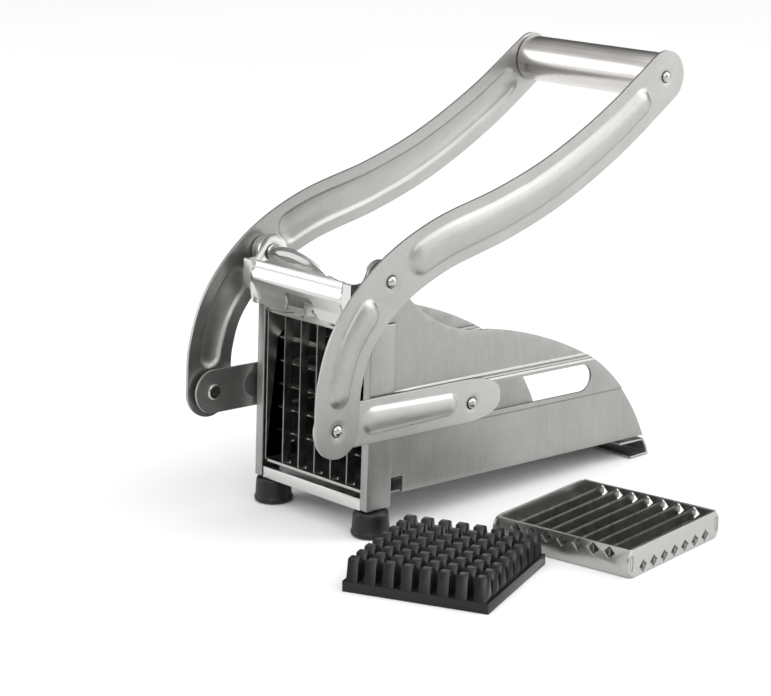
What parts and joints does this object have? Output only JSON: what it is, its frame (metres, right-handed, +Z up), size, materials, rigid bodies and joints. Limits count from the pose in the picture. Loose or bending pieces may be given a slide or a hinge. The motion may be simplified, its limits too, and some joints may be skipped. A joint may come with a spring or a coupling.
{
  "type": "vegetable dicer",
  "caption": "Lever-operated sheet-steel vegetable dicer with a blade grid, a sliding pusher and a spare fine insert set.",
  "frame": {"origin": "middle of the rear foot flange, on the surface that the dicer stands on", "axes": "+Z up, +X towards the rear foot along the dicer, -X towards the blades, +Y to the right-hand side seen from the rear"},
  "size_m": [0.2722, 0.2162, 0.2191],
  "materials": {
    "brushed_steel": "fine linear brushing on pressed stainless sheet",
    "polished_steel": "polished stainless tube and rivets",
    "blade_steel": "bright rolled blade steel",
    "black_plastic": "satin moulded black plastic",
    "black_rubber": "matt black rubber"
  },
  "bodies": {
    "root": {"wall_left": "brushed_steel", "front_post_left": "brushed_steel", "front_foot_left": "black_rubber", "grid_stop_left": "black_plastic", "pivot_rivet_left": "polished_steel", "pivot_bush_left": "blade_steel", "wall_right": "brushed_steel", "front_post_right": "brushed_steel", "front_foot_right": "black_rubber", "grid_stop_right": "black_plastic", "pivot_rivet_right": "polished_steel", "pivot_bush_right": "blade_steel", "floor_pan": "brushed_steel", "rear_foot": "brushed_steel", "front_sill": "brushed_steel", "grid_frame": "blade_steel", "grid_blade_a1": "blade_steel", "grid_blade_a2": "blade_steel", "grid_blade_a3": "blade_steel", "grid_blade_a4": "blade_steel", "grid_blade_a5": "blade_steel", "grid_blade_b1": "blade_steel", "grid_blade_b2": "blade_steel", "grid_blade_b3": "blade_steel", "grid_blade_b4": "blade_steel", "grid_blade_b5": "blade_steel"},
    "lever": {"lever_arm_left": "brushed_steel", "crank_rivet_left": "polished_steel", "lever_arm_right": "brushed_steel", "crank_rivet_right": "polished_steel", "handle_tube": "polished_steel", "handle_rod": "polished_steel"},
    "push_links": {"push_link_left": "brushed_steel", "slider_rivet_left": "polished_steel", "push_link_right": "brushed_steel", "slider_rivet_right": "polished_steel"},
    "pusher_carriage": {"carriage": "brushed_steel", "pusher_block": "black_plastic", "slider_axle": "polished_steel", "slider_bush_left": "black_plastic", "slider_bush_right": "black_plastic"},
    "retainer": {"blade_retainer": "brushed_steel"},
    "spare_pusher": {"spare_pusher_block": "black_plastic"},
    "spare_grid": {"spare_grid_frame": "blade_steel", "spare_grid_blade_a1": "blade_steel", "spare_grid_blade_a2": "blade_steel", "spare_grid_blade_a3": "blade_steel", "spare_grid_blade_a4": "blade_steel", "spare_grid_blade_a5": "blade_steel", "spare_grid_blade_a6": "blade_steel", "spare_grid_blade_a7": "blade_steel", "spare_grid_blade_b1": "blade_steel", "spare_grid_blade_b2": "blade_steel", "spare_grid_blade_b3": "blade_steel", "spare_grid_blade_b4": "blade_steel", "spare_grid_blade_b5": "blade_steel", "spare_grid_blade_b6": "blade_steel", "spare_grid_blade_b7": "blade_steel"}
  },
  "joints": [
    {"name": "lever_swing", "type": "hinge", "parent": "root", "child": "lever", "pos_m": [-0.18849, 0, 0.12825], "axis": [0, -1, 0], "range_deg": [-16, 67.5]},
    {"name": "link_swing", "type": "hinge", "parent": "lever", "child": "push_links", "pos_m": [-0.22342, 0, 0.06171], "axis": [0, -1, 0], "range_deg": [-71, 17]},
    {"name": "carriage_slide", "type": "slide", "parent": "root", "child": "pusher_carriage", "axis": [0.999, 0, -0.0436], "range_m": [-0.0197, 0.0825]},
    {"name": "retainer_swing", "type": "hinge", "parent": "root", "child": "retainer", "pos_m": [-0.18849, 0, 0.12825], "axis": [0, 1, 0], "range_deg": [0, 70]},
    {"name": "spare_pusher_lift", "type": "slide", "parent": "root", "child": "spare_pusher", "axis": [0, 0, 1], "range_m": [0, 0.15]},
    {"name": "spare_grid_lift", "type": "slide", "parent": "root", "child": "spare_grid", "axis": [0, 0, 1], "range_m": [0, 0.15]}
  ],
  "couplings": [
    {"joint": "link_swing", "follows": "lever_swing", "ratio": -1.05},
    {"joint": "carriage_slide", "follows": "lever_swing", "m_per_rad": 0.06986}
  ]
}
